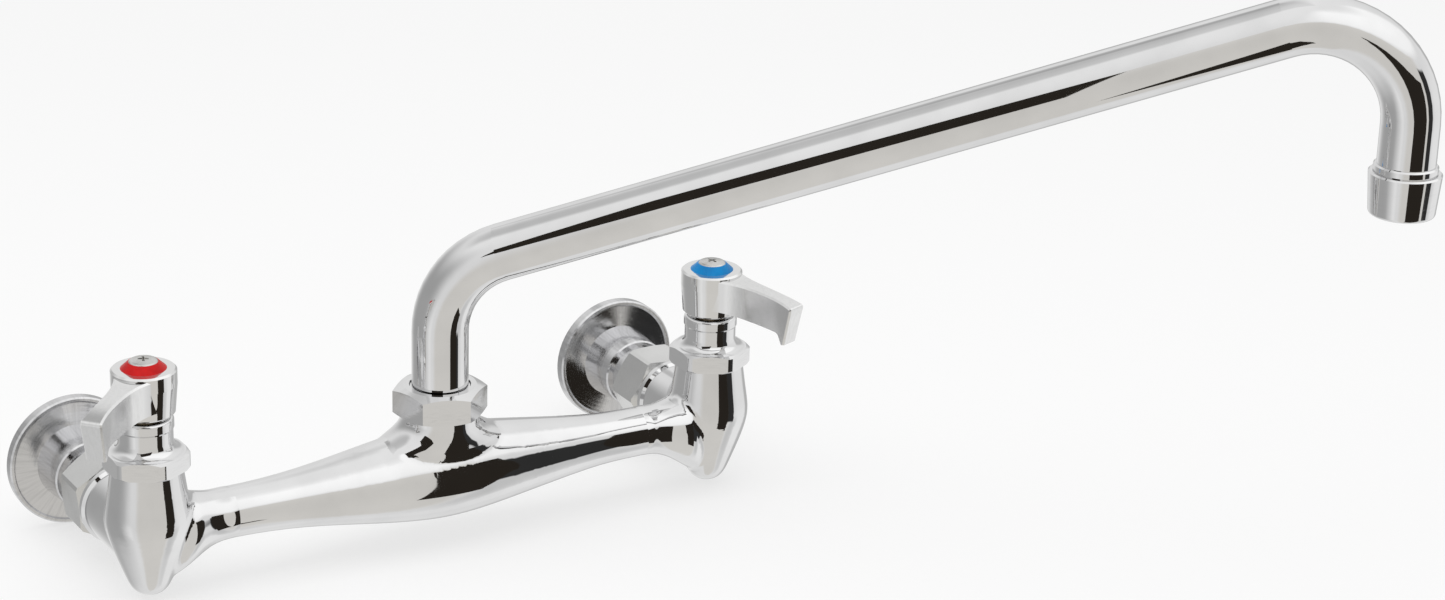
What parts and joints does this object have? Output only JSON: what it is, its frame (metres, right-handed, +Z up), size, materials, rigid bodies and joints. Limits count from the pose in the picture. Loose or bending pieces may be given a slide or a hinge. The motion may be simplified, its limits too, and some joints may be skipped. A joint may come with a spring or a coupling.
{
  "type": "commercial wall faucet",
  "caption": "Wall-mounted faucet: bridge body with lever valves and union wall connections, and a tube spout that slopes up and hooks down to an aerator.",
  "frame": {"origin": "midway between the two inlets, in the plane of the wall, at the height of the inlet axes", "axes": "+X along the wall towards the cold valve, -Y out of the wall towards the user, +Z up"},
  "size_m": [0.3863, 0.2567, 0.1996],
  "materials": {
    "chrome_cast": "polished chrome plate over a brass casting",
    "chrome_turned": "polished chrome plate over turned brass",
    "chrome_tube": "polished chrome plate over brass tube",
    "brass": "machined brass",
    "stainless": "turned stainless steel",
    "red_plastic": "moulded red plastic",
    "blue_plastic": "moulded blue plastic",
    "rubber": "black nitrile rubber",
    "fibre": "red-brown fibre washer",
    "nylon": "white nylon",
    "ceramic": "lapped alumina ceramic"
  },
  "bodies": {
    "body": {"faucet_body": "chrome_cast", "hot_wall_flange": "chrome_turned", "hot_union_washer": "fibre", "hot_union_tailpiece": "brass", "hot_union_nut": "chrome_turned", "hot_bonnet": "chrome_turned", "hot_bonnet_o_ring": "rubber", "hot_cartridge_cage": "brass", "hot_seat_seal": "rubber", "hot_fixed_disc": "ceramic", "hot_thrust_washer": "nylon", "cold_wall_flange": "chrome_turned", "cold_union_washer": "fibre", "cold_union_tailpiece": "brass", "cold_union_nut": "chrome_turned", "cold_bonnet": "chrome_turned", "cold_bonnet_o_ring": "rubber", "cold_cartridge_cage": "brass", "cold_seat_seal": "rubber", "cold_fixed_disc": "ceramic", "cold_thrust_washer": "nylon", "spout_nut": "chrome_turned", "spout_slip_washer": "nylon"},
    "hot_valve": {"hot_turning_disc": "ceramic", "hot_valve_stem": "brass", "hot_stem_o_ring": "rubber", "hot_lever_handle": "chrome_cast", "hot_index_ring": "red_plastic", "hot_handle_screw": "stainless"},
    "cold_valve": {"cold_turning_disc": "ceramic", "cold_valve_stem": "brass", "cold_stem_o_ring": "rubber", "cold_lever_handle": "chrome_cast", "cold_index_ring": "blue_plastic", "cold_handle_screw": "stainless"},
    "spout": {"spout_tube": "chrome_tube", "spout_ferrule": "chrome_turned", "spout_o_rings": "rubber", "outlet_bushing": "chrome_turned", "aerator_shell": "chrome_turned", "aerator_insert": "nylon", "aerator_washer": "rubber"}
  },
  "joints": [
    {"name": "hot_lever_turn", "type": "hinge", "parent": "body", "child": "hot_valve", "pos_m": [-0.1016, -0.068, 0], "axis": [0, 0, 1], "range_deg": [-42.5, 47.5]},
    {"name": "cold_lever_turn", "type": "hinge", "parent": "body", "child": "cold_valve", "pos_m": [0.1016, -0.068, 0], "axis": [0, 0, 1], "range_deg": [-20, 70]},
    {"name": "spout_swing", "type": "hinge", "parent": "body", "child": "spout", "pos_m": [0, -0.068, 0], "axis": [0, 0, 1], "range_deg": [-144, 36]}
  ]
}
